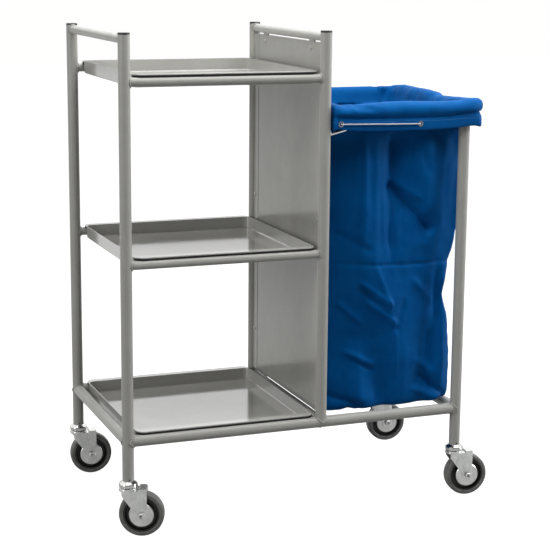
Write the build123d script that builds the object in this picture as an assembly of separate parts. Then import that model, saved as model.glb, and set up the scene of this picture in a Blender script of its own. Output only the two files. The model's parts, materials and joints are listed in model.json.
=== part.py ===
from build123d import *
import os
from math import radians, sin, tan

# Housekeeping cart: a welded tube frame with three lift-out trays on the left and a
# cloth laundry bag on the right, on four swivel casters. Millimetres, +Z up.
# Everything is laid out from the axis of the front left post at floor level, with +X
# along the front and +Y to the rear, and is moved at the end so that the origin is the
# centre of the footprint.

# ---- frame ----
DEPTH = 448.0                # front posts to rear posts, axis to axis
SHELF_BAY = 453.0            # left posts to middle posts
BAG_BAY = 342.0              # middle posts to right posts
POST_OD = 25.4
RAIL_OD = 19.0
TUBE_WALL = 1.5
POST_BOTTOM = 124.0
TALL_POST_TOP = 1087.0
SHORT_POST_TOP = 918.0
HANDLE_Z = 1077.0
BASE_Z = 212.0
MIDDLE_SHELF_Z = 600.5
TOP_SHELF_Z = 988.5
CAP_THICK = 4.0
CAP_PLUG = 12.0

POST_R = POST_OD / 2
RAIL_R = RAIL_OD / 2
TUBE_BORE_R = POST_R - TUBE_WALL
LENGTH = SHELF_BAY + BAG_BAY

# ---- trays ----
TRAY_LEFT = 21.0
TRAY_RIGHT = 435.5
TRAY_HEIGHT = 29.0
TRAY_SHEET = 1.5
TRAY_CORNER = 18.0
TRAY_WALL_SETBACK = 14.0     # from a rail axis to the tray's front or rear wall
FLANGE_OVERHANG = 4.0        # how far a flange reaches past the rail's axis
FLANGE_THICK = 2.5
RIM_ROUND = 1.0
STRIP_HEIGHT = 4.5
STRIP_WIDTH = 8.0

# ---- divider panel ----
PANEL_FACE_X = SHELF_BAY - 4.0
PANEL_SHEET = 1.2
PANEL_FOLD = 8.0             # depth of the folded edges
PANEL_GAP = 1.3              # to the posts
PANEL_BAND = 27.0            # width of the doubled bands at the front and rear edges
PANEL_BAND_RISE = 0.8
PANEL_BOTTOM = 233.0
PANEL_TOP = 1064.0
LUG_WIDTH = 30.0
LUG_THICK = 3.0
SCREW_R = 2.0
SCREW_HEAD_R = 4.2
SCREW_HEAD_H = 2.2
TOP_LUG_Y = (76.0, 364.0)
SIDE_LUG_Z = (336.0, 674.0)

# ---- bag and its hoop ----
HOOP_R = 4.0
HOOP_Z = SHORT_POST_TOP + 2.0
HOOP_LEFT = SHELF_BAY + 25.0
HOOP_RIGHT = LENGTH + 27.0
HOOP_CORNER = 22.0
HOOP_LEG_Z = 865.5
CLOTH = 3.0
BAG_LEFT = SHELF_BAY + 19.0  # at the bottom; the sack narrows towards its mouth
BAG_RIGHT = LENGTH - 3.0
BAG_SETBACK = 21.0           # front and rear, from the post axes
BAG_TAPER = 12.0             # the left side moves in by this at the mouth
BAG_BOTTOM = 226.0
BAG_CORNER = 26.0
CUFF_LEFT = SHELF_BAY + 15.3
CUFF_RIGHT = LENGTH + 38.0
CUFF_OUT = 22.5              # front and rear, outside the post axes
CUFF_BOTTOM = 874.0
CUFF_TOP = 933.0
CUFF_CORNER = 7.0
EYELET_X = (481.5, 673.5)
EYELET_Z = (889.5, 885.5)
EYELET_R = 6.5
EYELET_BARREL_R = 4.2
EYELET_BORE_R = 3.4
EYELET_FLANGE = 1.0
CORD_R = 1.5
CORD_INSET = 3.2             # hidden run of the cord, from the cuff's inner face

# ---- casters ----
WHEEL_R = 50.0
TYRE_HALF_WIDTH = 14.0
TYRE_SEAT_R = 39.5
RIM_HALF_WIDTH = 12.5
RIM_INNER_R = 36.0
WEB_HALF_WIDTH = 6.0
HUB_R = 12.0
HUB_HALF_WIDTH = 14.6
TRAIL = 29.0
AXLE_R = 4.0
AXLE_CLEARANCE = 0.06
GUARD_R = 27.2
GUARD_SHEET = 1.3
FORK_SHEET = 2.5
FORK_INNER = 16.5
CROWN_BOTTOM = 103.0
CROWN_TOP = CROWN_BOTTOM + FORK_SHEET
RACE_TOP = 109.0
RACE_R = 20.0
CUP_BOTTOM = 111.5
CUP_R = 20.7
KINGPIN_R = 5.0
BALL_R = 2.5
BALL_RING_R = 15.5
BALL_COUNT = 16
STEM_R = TUBE_BORE_R - 0.05
STEM_LENGTH = 40.0
STEM_SCREW_R = 1.8
STEM_SCREW_Z = POST_BOTTOM + 4.0
HEX_ACROSS_FLATS = 13.0
NUT_H = 6.5
BOLT_HEAD_H = 5.3
AXLE_DIMPLE_R = 2.4          # the hollow in the axle's front end
AXLE_DIMPLE_DEPTH = 5.0
PIN_HEAD_R = 8.0
PIN_HEAD_H = 4.0
CUP_SIDE_H = 6.0
STEM_SCREW_REACH = 6.0
FORK_TIP_R = 13.0            # around the axle
FORK_FRONT = -RACE_R - 0.5
SHOULDER_TOP = 109.5
SHOULDER_START = 25.0
FORK_PLAN_CORNER = 15.0
GUARD_LIP = 3.6

POSTS = {
    "front_left": (0.0, 0.0),
    "rear_left": (0.0, DEPTH),
    "front_mid": (SHELF_BAY, 0.0),
    "rear_mid": (SHELF_BAY, DEPTH),
    "front_right": (LENGTH, 0.0),
    "rear_right": (LENGTH, DEPTH),
}
CASTER_YAW = {"front_left": -21.0, "rear_left": -7.0, "front_right": -7.0, "rear_right": -5.0}


def rod(start, end, radius):
    """A solid round bar from one point to another."""
    start, end = Vector(start), Vector(end)
    run = end - start
    place = Plane(origin=start, z_dir=run)
    return place * Cylinder(radius, run.length, align=(Align.CENTER, Align.CENTER, Align.MIN))


def tube(start, end, radius):
    return rod(start, end, radius) - rod(start, end, radius - TUBE_WALL)


def post_bar(name, bottom=0.0, top=1200.0):
    """The full round of a post, which rails are coped to."""
    x, y = POSTS[name]
    return rod((x, y, bottom), (x, y, top), POST_R)


def base_bar(name_a, name_b):
    (xa, ya), (xb, yb) = POSTS[name_a], POSTS[name_b]
    return rod((xa, ya, BASE_Z), (xb, yb, BASE_Z), POST_R)


def rounded_slab(x0, x1, y0, y1, z0, z1, corner):
    """A flat-sided block with rounded upright corners."""
    outline = Pos((x0 + x1) / 2, (y0 + y1) / 2, z0) * RectangleRounded(x1 - x0, y1 - y0, corner)
    return extrude(outline, z1 - z0)


def block(x0, x1, y0, y1, z0, z1):
    middle = Pos((x0 + x1) / 2, (y0 + y1) / 2, (z0 + z1) / 2)
    return middle * Box(x1 - x0, y1 - y0, z1 - z0)


def turned(points):
    """A solid of revolution about Z from (radius, height) points."""
    face = Plane.XZ * make_face(Polyline(*points, close=True))
    return revolve(face, Axis.Z)


# ---- frame pieces ----

def corner_post(name, top):
    """A post with a caster in its lower end, and a cross hole for the stem screw."""
    x, y = POSTS[name]
    body = tube((x, y, POST_BOTTOM), (x, y, top), POST_R)
    return body - rod((x, y - POST_OD, STEM_SCREW_Z), (x, y, STEM_SCREW_Z), STEM_SCREW_R + 0.3)


def middle_post(name, base_rail):
    """A post that stands on a base rail, coped over it."""
    x, y = POSTS[name]
    return tube((x, y, BASE_Z), (x, y, TALL_POST_TOP), POST_R) - base_rail


def cross_rail(left, right, height, radius):
    """A rail between two posts, with its ends coped to them."""
    (xa, ya), (xb, yb) = POSTS[left], POSTS[right]
    rail = tube((xa, ya, height), (xb, yb, height), radius)
    return rail - post_bar(left) - post_bar(right)


def short_base_rail(front, rear, post_foot=0.0):
    """A front-to-rear base rail, coped to both long base rails and to its posts."""
    x = POSTS[front][0]
    rail = tube((x, 0, BASE_Z), (x, DEPTH, BASE_Z), POST_R)
    rail -= base_bar("front_left", "front_right")
    rail -= base_bar("rear_left", "rear_right")
    return rail - post_bar(front, post_foot) - post_bar(rear, post_foot)


def post_cap(name):
    """A black plug whose flush head closes a tall post."""
    x, y = POSTS[name]
    head = rod((x, y, TALL_POST_TOP), (x, y, TALL_POST_TOP + CAP_THICK), POST_R)
    head = fillet(head.edges().group_by(Axis.Z)[-1], 1.0)
    plug = rod((x, y, TALL_POST_TOP - CAP_PLUG), (x, y, TALL_POST_TOP), TUBE_BORE_R - 0.05)
    return head + plug


# ---- trays ----

def tray_outline(z0, z1, inset):
    """The flanged outline of a tray, seen from above, made into a block."""
    front = -FLANGE_OVERHANG + inset
    rear = DEPTH + FLANGE_OVERHANG - inset
    corner = TRAY_CORNER - inset
    return rounded_slab(TRAY_LEFT + inset, TRAY_RIGHT - inset, front, rear, z0, z1, corner)


def tray_well(z0, z1, inset):
    front = TRAY_WALL_SETBACK + inset
    rear = DEPTH - TRAY_WALL_SETBACK - inset
    corner = TRAY_CORNER - inset
    return rounded_slab(TRAY_LEFT + inset, TRAY_RIGHT - inset, front, rear, z0, z1, corner)


def tray(rail_top):
    """A pan whose front and rear flanges lie over the shelf rails."""
    flange_z = rail_top + STRIP_HEIGHT
    top = flange_z + FLANGE_THICK
    bottom = top - TRAY_HEIGHT
    pan = tray_well(bottom, top, 0)
    pan = fillet(pan.edges().group_by(Axis.Z)[0], 4.0)
    flange = tray_outline(flange_z, top, 0)
    flange = fillet(flange.edges().group_by(Axis.Z)[-1], RIM_ROUND)
    middle = block(0, LENGTH, TRAY_WALL_SETBACK + TRAY_CORNER, DEPTH - TRAY_WALL_SETBACK - TRAY_CORNER,
                   bottom, top + 1)
    pan += flange - middle
    hollow = tray_well(bottom + TRAY_SHEET, top + 5, TRAY_SHEET)
    hollow = fillet(hollow.edges().group_by(Axis.Z)[0], 3.0)
    return pan - hollow


def edge_strips(rail_top):
    """The two rubber strips between a tray's flanges and its rails."""
    ring = tray_outline(rail_top, rail_top + STRIP_HEIGHT, 0)
    ring -= tray_outline(rail_top - 1, rail_top + STRIP_HEIGHT + 1, STRIP_WIDTH)
    keep = TRAY_WALL_SETBACK - 0.6
    return ring - block(0, LENGTH, keep, DEPTH - keep, rail_top - 1, rail_top + STRIP_HEIGHT + 1)


# ---- divider panel ----

def panel_front():
    return POST_R + PANEL_GAP


def panel_rear():
    return DEPTH - POST_R - PANEL_GAP


def lug_centres():
    """Where the lugs and their screws are, as (Y, Z, kind)."""
    places = [(y, PANEL_TOP - 14.0, "top") for y in TOP_LUG_Y]
    places += [(panel_front() + 10.0, z, "front") for z in SIDE_LUG_Z]
    places += [(panel_rear() - 10.0, z, "rear") for z in SIDE_LUG_Z]
    return places


def divider_panel():
    """A sheet with its four edges folded back, and doubled bands down its two sides."""
    y0, y1 = panel_front(), panel_rear()
    back = PANEL_FACE_X + PANEL_FOLD
    inner = PANEL_FACE_X + PANEL_SHEET
    panel = block(PANEL_FACE_X, back, y0, y1, PANEL_BOTTOM, PANEL_TOP)
    panel -= block(inner, back + 1, y0 + PANEL_SHEET, y1 - PANEL_SHEET,
                   PANEL_BOTTOM + PANEL_SHEET, PANEL_TOP - PANEL_SHEET)
    for start in (y0, y1 - PANEL_BAND):
        panel += block(PANEL_FACE_X - PANEL_BAND_RISE, inner, start, start + PANEL_BAND,
                       PANEL_BOTTOM, PANEL_TOP)
    for y, z, kind in lug_centres():
        panel -= rod((PANEL_FACE_X - 2, y, z), (back, y, z), SCREW_R + 0.2)
        if kind == "top":
            panel -= block(inner, back, y - LUG_WIDTH / 2 - 1, y + LUG_WIDTH / 2 + 1, z, PANEL_TOP + 1)
        if kind == "front":
            panel -= block(inner, back, y0 - 1, y, z - LUG_WIDTH / 2 - 1, z + LUG_WIDTH / 2 + 1)
        if kind == "rear":
            panel -= block(inner, back, y, y1 + 1, z - LUG_WIDTH / 2 - 1, z + LUG_WIDTH / 2 + 1)
    return panel


def panel_lugs():
    """Flat lugs on the handle rail and the middle posts, behind the panel."""
    face = PANEL_FACE_X + PANEL_SHEET
    back = face + LUG_THICK
    half = LUG_WIDTH / 2
    lugs = []
    handle = rod((SHELF_BAY, 0, HANDLE_Z), (SHELF_BAY, DEPTH, HANDLE_Z), RAIL_R)
    for y, z, kind in lug_centres():
        if kind == "top":
            plate = block(face, back, y - half, y + half, z - 10, HANDLE_Z) - handle
        if kind == "front":
            plate = block(face, back, 0, y + 10, z - half, z + half) - post_bar("front_mid")
        if kind == "rear":
            plate = block(face, back, y - 10, DEPTH, z - half, z + half) - post_bar("rear_mid")
        lugs.append(plate - rod((face - 1, y, z), (back + 1, y, z), SCREW_R))
    return Compound(children=lugs)


def panel_screws():
    screws = []
    for y, z, kind in lug_centres():
        rise = 0.0 if kind == "top" else PANEL_BAND_RISE
        seat = PANEL_FACE_X - rise
        head = rod((seat, y, z), (seat - SCREW_HEAD_H, y, z), SCREW_HEAD_R)
        head = fillet(head.edges().group_by(Axis.X)[0], 1.2)
        shank = rod((seat, y, z), (PANEL_FACE_X + PANEL_SHEET + LUG_THICK + 1.5, y, z), SCREW_R)
        slot = block(seat - SCREW_HEAD_H - 1, seat - SCREW_HEAD_H + 0.9, y - SCREW_HEAD_R, y + SCREW_HEAD_R,
                     z - 0.5, z + 0.5)
        screws.append(head + shank - slot)
    return Compound(children=screws)


# ---- bag and hoop ----

def bent_path(points, radii):
    """A wire through points, with each inner corner rounded to its own radius."""
    points = [Vector(p) for p in points]
    edges = []
    start = points[0]
    for before, corner, after, radius in zip(points, points[1:], points[2:], radii):
        inward = (before - corner).normalized()
        outward = (after - corner).normalized()
        half_angle = radians(inward.get_angle(outward)) / 2
        cut = radius / tan(half_angle)
        arc_start = corner + inward * cut
        arc_end = corner + outward * cut
        to_centre = (inward + outward).normalized()
        arc_middle = corner + to_centre * (radius / sin(half_angle) - radius)
        edges.append(Edge.make_line(start, arc_start))
        edges.append(Edge.make_three_point_arc(arc_start, arc_middle, arc_end))
        start = arc_end
    edges.append(Edge.make_line(start, points[-1]))
    return Wire(edges)


def bent_rod(points, radii, radius):
    path = bent_path(points, radii)
    section = Plane(origin=path @ 0, z_dir=path % 0) * Circle(radius)
    return sweep(section, path=path)


def hoop_loop():
    """The closed rod loop, which is let 2 mm into the tops of the short posts."""
    middle = Pos((HOOP_LEFT + HOOP_RIGHT) / 2, DEPTH / 2, HOOP_Z)
    path = (middle * RectangleRounded(HOOP_RIGHT - HOOP_LEFT, DEPTH, HOOP_CORNER)).wire()
    return sweep(Plane(origin=path @ 0, z_dir=path % 0) * Circle(HOOP_R), path=path)


def bag_hoop():
    """The loop with the two legs that join it to the middle posts."""
    loop = hoop_loop()
    reach = SHELF_BAY + POST_R
    for y, name in ((0.0, "front_mid"), (DEPTH, "rear_mid")):
        leg = bent_rod(
            [(reach - 3, y, HOOP_LEG_Z), (reach + 34, y, HOOP_LEG_Z + 9), (reach + 125, y, HOOP_Z - 2)],
            [60.0], HOOP_R)
        loop += leg - post_bar(name)
    return loop


def cuff_block(z0, z1, inset):
    return rounded_slab(CUFF_LEFT + inset, CUFF_RIGHT - inset, -CUFF_OUT + inset, DEPTH + CUFF_OUT - inset,
                        z0, z1, CUFF_CORNER - inset)


def bag_sack(z0, z1, inset):
    """The tapering body of the sack, or its hollow when inset by the cloth's thickness."""
    front, rear = BAG_SETBACK + inset, DEPTH - BAG_SETBACK - inset
    corner = BAG_CORNER - inset
    sections = []
    for z, left, right in ((BAG_BOTTOM, BAG_LEFT, BAG_RIGHT), (CUFF_TOP, BAG_LEFT + BAG_TAPER, BAG_RIGHT)):
        wide = right - left - 2 * inset
        place = Pos((left + right) / 2, (front + rear) / 2, z)
        sections.append(place * RectangleRounded(wide, rear - front, corner))
    sack = loft(sections)
    return sack & block(0, 2 * LENGTH, -DEPTH, 2 * DEPTH, z0, z1)


def laundry_bag():
    """An open cloth sack whose top is turned out over the hoop and hangs as a cuff."""
    roof = CUFF_TOP - CLOTH
    cuff = cuff_block(CUFF_BOTTOM, CUFF_TOP, 0)
    cuff = fillet(cuff.edges().group_by(Axis.Z)[-1], 5.0)
    cuff -= cuff_block(CUFF_BOTTOM - 1, roof, CLOTH)
    bag = cuff + bag_sack(BAG_BOTTOM, CUFF_TOP, 0)
    bag -= bag_sack(BAG_BOTTOM + CLOTH, CUFF_TOP, CLOTH)
    for x, z in zip(EYELET_X, EYELET_Z):
        bag -= rod((x, -CUFF_OUT - 5, z), (x, -CUFF_OUT + CLOTH + 1, z), EYELET_BARREL_R + 0.1)
    return bag


def eyelets():
    """Two pressed metal eyelets in the front of the cuff."""
    rings = []
    front = -CUFF_OUT
    for x, z in zip(EYELET_X, EYELET_Z):
        barrel = rod((x, front - EYELET_FLANGE, z), (x, front + CLOTH + EYELET_FLANGE, z), EYELET_BARREL_R)
        flange = rod((x, front - EYELET_FLANGE - 0.05, z), (x, front - 0.05, z), EYELET_R)
        washer = rod((x, front + CLOTH + 0.05, z), (x, front + CLOTH + EYELET_FLANGE, z), EYELET_R)
        bore = rod((x, front - 9, z), (x, front + 9, z), EYELET_BORE_R)
        ring = barrel + flange + washer - bore
        rings.append(ring)
    return Compound(children=rings)


def drawcord():
    """The cord through the cuff: outside between the eyelets, hidden for the rest."""
    (xa, xb), (za, zb) = EYELET_X, EYELET_Z
    outside = -CUFF_OUT - EYELET_FLANGE - CORD_R - 0.6
    hidden = -CUFF_OUT + CLOTH + CORD_INSET
    left = CUFF_LEFT + CLOTH + CORD_INSET
    right = CUFF_RIGHT - CLOTH - CORD_INSET
    rear = DEPTH + CUFF_OUT - CLOTH - 2.4
    middle = (left + right) / 2
    join_gap = 1.0
    low = CUFF_BOTTOM + 16.0
    points = [
        (middle - join_gap, rear, low), (left, rear, low), (left, hidden, za), (xa - 1, hidden, za),
        (xa + 1, outside, za), (xb - 1, outside, zb), (xb + 1, hidden, zb), (right, hidden, zb),
        (right, rear, low), (middle + join_gap, rear, low),
    ]
    radii = [12.0, 3.0, 3.0, 3.0, 3.0, 3.0, 12.0, 12.0]
    return bent_rod(points, radii, CORD_R)


# ---- caster pieces, laid out with the swivel axis on Z and the wheel trailing to +X ----

def ball_groove(height):
    return Pos(0, 0, height) * Torus(BALL_RING_R, BALL_R + 0.06)


def ball_height():
    return (RACE_TOP + CUP_BOTTOM) / 2


def caster_head():
    """Stem, bearing cup and kingpin: the half of the swivel that stays with the post."""
    pin_head = CROWN_BOTTOM - 0.2
    pin_bottom = pin_head - PIN_HEAD_H
    cup_shoulder = CUP_BOTTOM + CUP_SIDE_H
    stem_top = POST_BOTTOM + STEM_LENGTH
    head = turned([
        (0, pin_bottom), (PIN_HEAD_R - 1, pin_bottom), (PIN_HEAD_R, pin_bottom + 1), (PIN_HEAD_R, pin_head),
        (KINGPIN_R, pin_head), (KINGPIN_R, CUP_BOTTOM), (CUP_R - 0.8, CUP_BOTTOM),
        (CUP_R, CUP_BOTTOM + 0.8), (CUP_R, cup_shoulder), (CUP_R - 1.2, cup_shoulder + 2),
        (POST_R + 1.5, POST_BOTTOM - 0.8), (POST_R, POST_BOTTOM), (STEM_R, POST_BOTTOM),
        (STEM_R, stem_top - 2), (STEM_R - 2, stem_top), (0, stem_top)])
    return head - ball_groove(ball_height())


def stem_screw():
    """The screw that locks a stem in its post, set below the tube's surface."""
    face = -POST_R + 1.0
    return rod((0, face, STEM_SCREW_Z), (0, -POST_R + STEM_SCREW_REACH, STEM_SCREW_Z), STEM_SCREW_R)


def stem_screw_hole():
    return rod((0, -POST_R, STEM_SCREW_Z), (0, -POST_R + STEM_SCREW_REACH, STEM_SCREW_Z), STEM_SCREW_R)


def swivel_balls():
    ball = Pos(BALL_RING_R, 0, ball_height()) * Sphere(BALL_R)
    return [Rot(0, 0, 360 * i / BALL_COUNT) * ball for i in range(BALL_COUNT)]


def fork():
    """A pressed steel fork with a raised shoulder over the wheel and the lower race."""
    outer = FORK_INNER + FORK_SHEET
    rear = TRAIL + FORK_TIP_R
    side = make_face(Polyline(
        (FORK_FRONT, CROWN_TOP), (SHOULDER_START - 3, CROWN_TOP), (SHOULDER_START, SHOULDER_TOP),
        (rear - 1, SHOULDER_TOP), (rear, SHOULDER_TOP - 4), (rear + 1, WHEEL_R + 8),
        (TRAIL, WHEEL_R - FORK_TIP_R + 1.2), (TRAIL - 7.5, WHEEL_R - 4), (FORK_FRONT, CROWN_BOTTOM),
        close=True))
    side += Pos(TRAIL, WHEEL_R) * Circle(FORK_TIP_R)
    slab = extrude(Plane.XZ * side, outer, both=True)
    length = rear + 6 - FORK_FRONT
    plan = Pos(FORK_FRONT + length / 2, 0, 0) * RectangleRounded(length, 2 * outer, FORK_PLAN_CORNER)
    slab &= extrude(plan, SHOULDER_TOP + 10)
    slab = fillet(slab.edges().filter_by(Axis.Y).group_by(Axis.Z)[-1], 3.0)
    inner = block(2 * FORK_FRONT, 2 * rear, -FORK_INNER, FORK_INNER, 0, CROWN_BOTTOM)
    inner += block(SHOULDER_START, rear - FORK_SHEET - 1, -FORK_INNER, FORK_INNER,
                   CROWN_BOTTOM, SHOULDER_TOP - FORK_SHEET)
    race = rod((0, 0, CROWN_BOTTOM), (0, 0, RACE_TOP), RACE_R)
    race = fillet(race.edges().group_by(Axis.Z)[-1], 1.5)
    body = slab - inner + race
    body -= rod((0, 0, CROWN_BOTTOM - 1), (0, 0, RACE_TOP + 1), KINGPIN_R + AXLE_CLEARANCE)
    body -= ball_groove(ball_height())
    return body - rod((TRAIL, -2 * outer, WHEEL_R), (TRAIL, 2 * outer, WHEEL_R), AXLE_R + 0.1)


def hexagon(y0, y1):
    """A hexagon bar about the axle, with chamfered ends."""
    face = Plane.XZ * (Pos(TRAIL, WHEEL_R) * RegularPolygon(HEX_ACROSS_FLATS / 2, 6, major_radius=False))
    bar = Pos(0, y1, 0) * extrude(face, y1 - y0)
    return chamfer(bar.edges().filter_by(GeomType.LINE).filter_by(Axis.Y, reverse=True), 0.6)


def axle():
    """The axle bolt with its head at the rear side and its nut at the front side."""
    seat = FORK_INNER + FORK_SHEET
    tip = -seat - NUT_H + 1.6
    shaft = rod((TRAIL, tip, WHEEL_R), (TRAIL, seat, WHEEL_R), AXLE_R)
    shaft -= rod((TRAIL, tip, WHEEL_R), (TRAIL, tip + AXLE_DIMPLE_DEPTH, WHEEL_R), AXLE_DIMPLE_R)
    bolt = shaft + hexagon(seat, seat + BOLT_HEAD_H)
    nut = hexagon(-seat - NUT_H, -seat)
    nut -= rod((TRAIL, -seat - NUT_H - 1, WHEEL_R), (TRAIL, -seat + 1, WHEEL_R), AXLE_R)
    return Compound(children=[bolt, nut])


def about_axle(points):
    """A solid of revolution about the axle from (radius, distance along it) points."""
    return Pos(TRAIL, 0, WHEEL_R) * Rot(90, 0, 0) * turned(points)


def thread_guards():
    """Two pressed discs between the wheel's hub and the fork legs."""
    guards = []
    face = FORK_INNER
    for side in (-1, 1):
        section = [(AXLE_R + 0.1, face), (GUARD_R - 1.5, face), (GUARD_R, face - 1.5),
                   (GUARD_R, face - GUARD_LIP), (GUARD_R - GUARD_SHEET, face - GUARD_LIP),
                   (GUARD_R - GUARD_SHEET, face - 1.8), (GUARD_R - GUARD_SHEET - 0.8, face - GUARD_SHEET),
                   (AXLE_R + 0.1, face - GUARD_SHEET)]
        guards.append(about_axle([(r, side * h) for r, h in section]))
    return Compound(children=guards)


def wheel_centre():
    """Black moulded centre: hub, thin web and the rim that carries the tyre."""
    bore = AXLE_R + AXLE_CLEARANCE
    half = [(bore, HUB_HALF_WIDTH), (HUB_R, HUB_HALF_WIDTH), (HUB_R + 1.5, WEB_HALF_WIDTH),
            (RIM_INNER_R - 2.5, WEB_HALF_WIDTH), (RIM_INNER_R, RIM_HALF_WIDTH),
            (TYRE_SEAT_R, RIM_HALF_WIDTH)]
    other = [(r, -h) for r, h in reversed(half)]
    return about_axle(half + other)


def tyre():
    """Solid grey rubber tyre with rounded shoulders and a slightly crowned tread."""
    half = [(TYRE_SEAT_R, RIM_HALF_WIDTH), (TYRE_SEAT_R + 0.8, TYRE_HALF_WIDTH - 0.4),
            (TYRE_SEAT_R + 1.6, TYRE_HALF_WIDTH), (WHEEL_R - 5.0, TYRE_HALF_WIDTH),
            (WHEEL_R - 2.6, TYRE_HALF_WIDTH - 0.9), (WHEEL_R - 1.0, TYRE_HALF_WIDTH - 2.8),
            (WHEEL_R - 0.3, TYRE_HALF_WIDTH - 5.5), (WHEEL_R, TYRE_HALF_WIDTH - 9.5)]
    other = [(r, -h) for r, h in reversed(half)]
    return about_axle(half + other)


# ---- assembly ----

def frame_parts():
    front_base = base_bar("front_left", "front_right")
    rear_base = base_bar("rear_left", "rear_right")
    loop = hoop_loop()
    parts = {
        "post_front_left": corner_post("front_left", TALL_POST_TOP),
        "post_rear_left": corner_post("rear_left", TALL_POST_TOP),
        "post_front_right": corner_post("front_right", SHORT_POST_TOP) - loop,
        "post_rear_right": corner_post("rear_right", SHORT_POST_TOP) - loop,
        "post_front_mid": middle_post("front_mid", front_base),
        "post_rear_mid": middle_post("rear_mid", rear_base),
        "handle_left": cross_rail("front_left", "rear_left", HANDLE_Z, RAIL_R),
        "handle_mid": cross_rail("front_mid", "rear_mid", HANDLE_Z, RAIL_R),
        "base_rail_front": cross_rail("front_left", "front_right", BASE_Z, POST_R),
        "base_rail_rear": cross_rail("rear_left", "rear_right", BASE_Z, POST_R),
        "base_rail_left": short_base_rail("front_left", "rear_left"),
        "base_rail_mid": short_base_rail("front_mid", "rear_mid", BASE_Z),
        "base_rail_right": short_base_rail("front_right", "rear_right"),
    }
    for shelf, height in (("top", TOP_SHELF_Z), ("middle", MIDDLE_SHELF_Z)):
        parts[f"{shelf}_shelf_rail_front"] = cross_rail("front_left", "front_mid", height, RAIL_R)
        parts[f"{shelf}_shelf_rail_rear"] = cross_rail("rear_left", "rear_mid", height, RAIL_R)
    for name in ("front_left", "rear_left", "front_mid", "rear_mid"):
        parts[f"post_cap_{name}"] = post_cap(name)
    return parts


def shelf_parts():
    parts = {}
    tops = {"top": TOP_SHELF_Z + RAIL_R, "middle": MIDDLE_SHELF_Z + RAIL_R, "bottom": BASE_Z + POST_R}
    for shelf, rail_top in tops.items():
        parts[f"tray_{shelf}"] = tray(rail_top)
        parts[f"tray_strips_{shelf}"] = edge_strips(rail_top)
    parts["divider_panel"] = divider_panel()
    parts["panel_lugs"] = panel_lugs()
    parts["panel_screws"] = panel_screws()
    return parts


def bag_parts():
    return {"bag_hoop": bag_hoop(), "laundry_bag": laundry_bag(), "bag_eyelets": eyelets(),
            "bag_drawcord": drawcord()}


def caster_place(name):
    x, y = POSTS[name]
    return Pos(x, y, 0) * Rot(0, 0, CASTER_YAW[name])


def caster_parts():
    parts = {}
    screws, balls = [], []
    pieces = {"fork": fork(), "axle": axle(), "thread_guards": thread_guards(),
              "wheel": wheel_centre(), "tyre": tyre()}
    head = caster_head() - stem_screw_hole()
    for name in CASTER_YAW:
        x, y = POSTS[name]
        parts[f"caster_{name}_head"] = Pos(x, y, 0) * head
        for kind, piece in pieces.items():
            parts[f"caster_{name}_{kind}"] = caster_place(name) * piece
        screws.append(Pos(x, y, 0) * stem_screw())
        balls += [Pos(x, y, 0) * ball for ball in swivel_balls()]
    parts["stem_screws"] = Compound(children=screws)
    parts["swivel_balls"] = Compound(children=balls)
    return parts


def all_parts():
    parts = {**frame_parts(), **shelf_parts(), **bag_parts(), **caster_parts()}
    box = Compound(children=[p.moved(Location()) for p in parts.values()]).bounding_box()
    centre = ((box.min.X + box.max.X) / 2, (box.min.Y + box.max.Y) / 2)
    return parts, centre


if __name__ == "__main__":
    os.makedirs("parts", exist_ok=True)
    made, (centre_x, centre_y) = all_parts()
    print("front left post axis at", round(-centre_x, 3), round(-centre_y, 3))
    for part_name, part_shape in made.items():
        export_step(part_shape.moved(Location((-centre_x, -centre_y, 0))), f"parts/{part_name}.step")
    print(len(made), "nodes")
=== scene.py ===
import json
from math import cos, hypot, pi, radians, sin, sqrt, tau

import bpy
import numpy as np
from mathutils import Matrix, Vector, noise


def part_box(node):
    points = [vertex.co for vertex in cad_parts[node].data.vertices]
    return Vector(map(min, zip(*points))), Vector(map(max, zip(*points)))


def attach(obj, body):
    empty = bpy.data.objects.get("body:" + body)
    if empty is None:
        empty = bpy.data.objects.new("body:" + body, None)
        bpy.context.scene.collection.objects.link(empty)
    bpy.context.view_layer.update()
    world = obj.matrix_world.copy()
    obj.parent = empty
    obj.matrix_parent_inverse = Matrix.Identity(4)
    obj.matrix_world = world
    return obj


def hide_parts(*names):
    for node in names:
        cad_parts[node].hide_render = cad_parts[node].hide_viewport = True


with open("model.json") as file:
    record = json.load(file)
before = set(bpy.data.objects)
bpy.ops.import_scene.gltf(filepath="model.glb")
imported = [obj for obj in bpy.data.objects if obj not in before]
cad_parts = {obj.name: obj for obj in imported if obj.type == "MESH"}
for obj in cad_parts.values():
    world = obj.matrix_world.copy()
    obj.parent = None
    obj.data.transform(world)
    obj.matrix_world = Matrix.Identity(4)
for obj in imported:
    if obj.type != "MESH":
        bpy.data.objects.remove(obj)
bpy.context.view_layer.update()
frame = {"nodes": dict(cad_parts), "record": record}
NODES = frame["nodes"]
MM = 0.001


def centre(node):
    low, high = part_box(node)
    return (low + high) / 2


ORIGIN = centre("post_front_left")
REAR_Y = (centre("post_rear_left").y - ORIGIN.y) / MM
MID_X = (centre("post_front_mid").x - ORIGIN.x) / MM
RIGHT_X = (centre("post_front_right").x - ORIGIN.x) / MM


def at(x, y, z):
    """A point in the row frame from millimetres measured from the front left post's axis at the floor."""
    return Vector((ORIGIN.x + x * MM, ORIGIN.y + y * MM, z * MM))


def mesh_piece(name, verts, faces, body="frame", material=None, smooth=True):
    mesh = bpy.data.meshes.new(name)
    mesh.from_pydata([tuple(v) for v in verts], [], faces)
    mesh.validate()
    mesh.update()
    obj = bpy.data.objects.new(name, mesh)
    bpy.context.scene.collection.objects.link(obj)
    if smooth:
        mesh.polygons.foreach_set("use_smooth", [True] * len(mesh.polygons))
    if material:
        mesh.materials.append(material)
    if body:
        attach(obj, body)
    return obj


# ---- materials ----

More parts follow.
